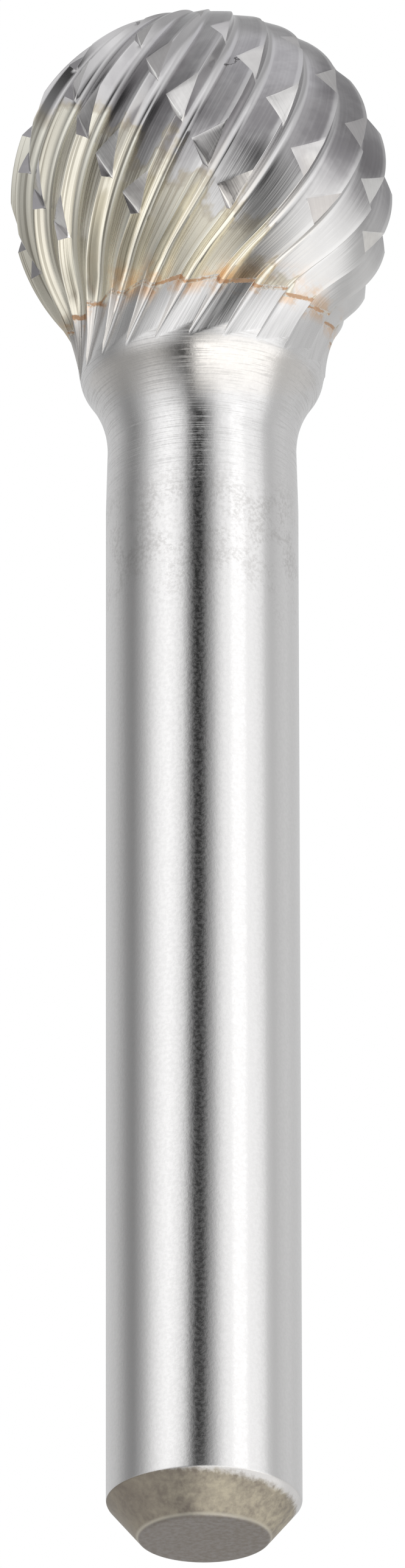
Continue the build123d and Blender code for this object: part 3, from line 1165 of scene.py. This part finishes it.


# backs and cutting faces: long soft streaks, fewer on the polished lands,
# lighter low on the ball; the tint multiplies the grey, and a pale streaky
# film lies over it, more of it toward -X; then its brown rim, copper beside
# the joint, and the crack. The film is rougher and a little less metallic
def carbideFinish(name, look):
    made, tree, shader, place, axis = newFinish(name)
    fine, broad = grindMarks(tree, *look["streaks"])
    cloud = cloudOf(tree, place, look["cloudPerMm"])
    specks = cloudOf(tree, place, look["specksPerMm"])
    land = node(tree, "ShaderNodeAttribute", attribute_name="land").outputs["Fac"]
    back = calc(tree, "SUBTRACT", 1.0, land)
    streak = addShare(tree, fine, look["fineTone"], times(tree, broad, look["broadTone"]))
    fade = times(tree, remap(tree, axis["Z"], *look["streakUp"]),
                 remap(tree, axis["X"], *look["streakAcross"]))
    streak = times(tree, streak, fade)
    tone = carbideTone(tree, look, axis, streak, cloud, land, back)
    colour = mixColour(tree, remap(tree, tone, *look["toneSpan"]), look["dark"], look["light"])
    low = remap(tree, axis["Z"], *look["paleGreyUp"])
    colour = mixColour(tree, times(tree, low, look["paleGreyShare"]), colour, look["paleGrey"])

    straw = tintMask(tree, look, axis, cloud, land)
    pale = times(tree, remap(tree, axis["X"], *look["paleAcross"]),
                 remap(tree, streak, *look["paleStreak"]))
    lines = remap(tree, addShare(tree, fine, 0.6, times(tree, broad, 0.4)), *look["filmSpan"])
    film = mixColour(tree, addShare(tree, land, look["filmLand"], lines), look["filmWorn"], look["film"])
    covered = calc(tree, "MAXIMUM", pale, times(tree, land, look["paleLand"]))
    tinted = mixColour(tree, covered, dye(tree, colour, look["straw"]), film)
    rim = times(tree, straw, calc(tree, "SUBTRACT", 1.0, straw), look["rimShare"])
    colour = mixColour(tree, rim, mixColour(tree, straw, colour, tinted), look["rim"])
    near = stainMask(tree, axis, burrShape["brazeTop"], look["stainReach"], cloud, specks)
    colour = mixColour(tree, near, colour, dye(tree, colour, look["stain"]))
    crack = times(tree, crackMask(tree, crackLook, place), crackLook["share"])
    colour = mixColour(tree, crack, colour, crackLook["colour"])

    whole = times(tree, straw, pale)
    feed(tree, shader.inputs["Metallic"], addShare(tree, whole, look["filmMetal"], 1.0))
    worn = remap(tree, times(tree, streak, back), 0.0, 0.7, *look["roughness"])
    rough = calc(tree, "ADD", worn, times(tree, whole, look["filmRoughness"]))
    height = times(tree, addShare(tree, broad, 1.2, fine), back)
    setFinish(tree, shader, colour, rough, height, 0.0016)
    return made


# chip breakers: cool grey in soft clouds with faint lines, darker toward the tip
def notchFinish(name, dark, light):
    made, tree, shader, place, axis = newFinish(name)
    fine = grindMarks(tree, 14.0, 0.5)[0]
    tone = addShare(tree, fine, 0.10, times(tree, cloudOf(tree, place, 0.42), 0.9))
    tone = times(tree, tone, remap(tree, axis["Z"], *carbideLook["notchUp"]))
    rough = remap(tree, fine, 0.0, 1.0, 0.14, 0.24)
    setFinish(tree, shader, mixColour(tree, tone, dark, light), rough, fine, 0.0012)
    return made


steelLook = {
    "light": (0.80, 0.79, 0.785),
    "dark": (0.52, 0.51, 0.505),
    "roughness": (0.10, 0.18),
    "speckTone": 0.10,
    "speckDepth": 0.0006,
    "turnedSpan": (32.6, 36.4),   # heights between which the marks of turning come in
    "turnedTone": 0.18,
    "turnedRoughness": 0.20,      # added in the deepest of them
    "turnedDepth": 0.0009,
    "smudge": (0.50, 0.485, 0.47),
    "smudgeWindow": (29.0, 32.0, 33.5, 35.0),
    "smudgeShare": 0.5,
}


# satin shank with fine specks and a few faint smudges under the neck; up the
# neck the marks of turning run round it as thin lines of rougher metal
def steelFinish(name, look):
    made, tree, shader, place, axis = newFinish(name)
    turnedMask = remap(tree, axis["Z"], *look["turnedSpan"])
    around = calc(tree, "ADD", times(tree, axis["X"], 0.7), times(tree, axis["Y"], 0.7))
    rings = useGroup(tree, scratches, Across=axis["Z"], Along=around, PerMm=24.0, Breaks=0.9)
    cloud, specks = cloudOf(tree, place, 0.9), cloudOf(tree, place, 9.0)
    ring = times(tree, remap(tree, rings["Fine"], 0.45, 1.0), turnedMask)
    patches = remap(tree, addShare(tree, specks, 0.8, cloud), 0.7, 1.9)
    smudge = times(tree, window(tree, axis["Z"], *look["smudgeWindow"]), patches, look["smudgeShare"])
    tone = addShare(tree, ring, look["turnedTone"], times(tree, specks, look["speckTone"]))
    colour = mixColour(tree, smudge, mixColour(tree, tone, look["light"], look["dark"]), look["smudge"])
    satin = remap(tree, specks, 0.0, 1.0, *look["roughness"])
    rough = addShare(tree, ring, look["turnedRoughness"], satin)
    height = times(tree, addShare(tree, rings["Broad"], 2.0, rings["Fine"]), turnedMask)
    grain = bump(tree, specks, look["speckDepth"])
    setFinish(tree, shader, colour, rough, height, look["turnedDepth"], grain)
    return made


# steel teeth: soft streaks along them, copper run down in patches
def steelTeethFinish(name, look):
    made, tree, shader, place, axis = newFinish(name)
    fine, broad = grindMarks(tree, 12.0, 0.12)
    cloud, specks = cloudOf(tree, place, 1.2), cloudOf(tree, place, 6.0)
    tone = addShare(tree, broad, 0.22, times(tree, fine, 0.16))
    colour = mixColour(tree, tone, look["light"], look["dark"])
    near = stainMask(tree, axis, burrShape["brazeBottom"], 0.55, cloud, specks)
    colour = mixColour(tree, near, colour, dye(tree, colour, carbideLook["stain"]))
    rough = remap(tree, fine, 0.0, 1.0, 0.2, 0.32)
    setFinish(tree, shader, colour, rough, calc(tree, "ADD", fine, broad), 0.0010)
    return made


endLook = {
    "dark": (0.27, 0.235, 0.20),
    "light": (0.60, 0.545, 0.43),
    # painted shade: the tone falls off toward -X
    "paintedShadeAcross": (-2.4, 0.6, 0.35, 1.0),
    "flat": (0.36, 0.33, 0.31),
    "flatSpan": (0.10, 0.01),
    "flatShare": 0.92,
    "edge": (0.66, 0.62, 0.53),      # painted highlight: paler line where the chamfer meets the flat
    "highlightEdgeWindow": (0.02, 0.06, 0.08, 0.17),
    "highlightEdgeShare": 0.7,
    "steelSpan": (1.14, 1.36),       # clean steel from here up
    "steelSlant": 0.08,
    "steelRoughness": -0.30,
    "roughness": (0.42, 0.56),
}


# browned chamfer and end: two sizes of blotch, with painted shade darkening it toward -X, greyer on the
# flat, with a painted highlight as a pale line round its edge; it ends at the rim in a ragged, slanting
# line
def endFinish(name, look):
    made, tree, shader, place, axis = newFinish(name)
    cloud, specks = cloudOf(tree, place, 1.1), cloudOf(tree, place, 5.5)
    tone = addShare(tree, specks, 0.40, times(tree, cloud, 0.65))
    # painted shade: darker toward -X
    tone = times(tree, tone, remap(tree, axis["X"], *look["paintedShadeAcross"]))
    colour = mixColour(tree, tone, look["dark"], look["light"])
    # painted highlight: a paler band round the edge of the end flat
    pale = times(tree, window(tree, axis["Z"], *look["highlightEdgeWindow"]), look["highlightEdgeShare"])
    colour = mixColour(tree, pale, colour, look["edge"])
    greyed = mixColour(tree, times(tree, specks, 0.7), look["flat"], look["dark"])
    flat = times(tree, remap(tree, axis["Z"], *look["flatSpan"]), look["flatShare"])
    colour = mixColour(tree, flat, colour, greyed)
    ragged = addShare(tree, specks, 0.08, axis["Z"])
    steel = remap(tree, addShare(tree, axis["X"], look["steelSlant"], ragged), *look["steelSpan"])
    colour = mixColour(tree, steel, colour, steelLook["light"])
    dull = remap(tree, tone, 0.0, 1.0, *look["roughness"])
    rough = addShare(tree, steel, look["steelRoughness"], dull)
    setFinish(tree, shader, colour, rough, specks, 0.003)
    return made


brazeLook = {
    "copper": (0.62, 0.41, 0.27),
    "silver": (0.70, 0.66, 0.60),
    "copperSpan": (0.10, 0.42),
    "thin": -8.0,                    # how fast the copper thins out from the middle, per mm
    "roughness": (0.25, 0.42),
}


# joint: copper in blotches along its middle and silver toward its edges, duller
# where the copper is thick
def brazeFinish(name, look):
    made, tree, shader, place, axis = newFinish(name)
    cloud, specks = cloudOf(tree, place, 1.3), cloudOf(tree, place, 8.0)
    tone = addShare(tree, specks, 0.45, times(tree, cloud, 0.75))
    middle = (burrShape["brazeTop"] + burrShape["brazeBottom"]) / 2
    tone = addShare(tree, distanceFrom(tree, axis, middle), look["thin"], tone)
    colour = mixColour(tree, remap(tree, tone, *look["copperSpan"]), look["silver"], look["copper"])
    rough = remap(tree, tone, 0.0, 0.8, *look["roughness"])
    setFinish(tree, shader, colour, rough, specks, 0.006)
    return made


groundCarbide = carbideFinish("groundCarbide", carbideLook)
notchCarbide = notchFinish("notchCarbide", carbideLook["notch"], carbideLook["paleGrey"])
# painted highlight: a thin near-white strip along the bottom of each chip breaker, in place of a glint
paintedGlintCarbide = notchFinish("paintedGlintCarbide", carbideLook["root"], carbideLook["paleGrey"])
# painted shade: the steep side of each chip breaker is coloured darker than the rest of the notch
paintedShadeWallCarbide = notchFinish("paintedShadeWallCarbide", carbideLook["wall"], carbideLook["notch"])
brazeMetal = brazeFinish("brazeMetal", brazeLook)
satinSteel = steelFinish("satinSteel", steelLook)
groundSteel = steelTeethFinish("groundSteel", steelLook)
endSteel = endFinish("endSteel", endLook)
print("finishes made")

for piece, instead, finish in (
    (makeHead([groundCarbide, notchCarbide, paintedGlintCarbide, paintedShadeWallCarbide]), "carbide_head", "carbide"),
    (makeBraze([brazeMetal]), "braze_joint", "braze"),
    (makeShank([satinSteel, groundSteel, endSteel]), "shank", "steel"),
):
    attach(piece, "root")
    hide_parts(instead)
print("head, braze and shank made")
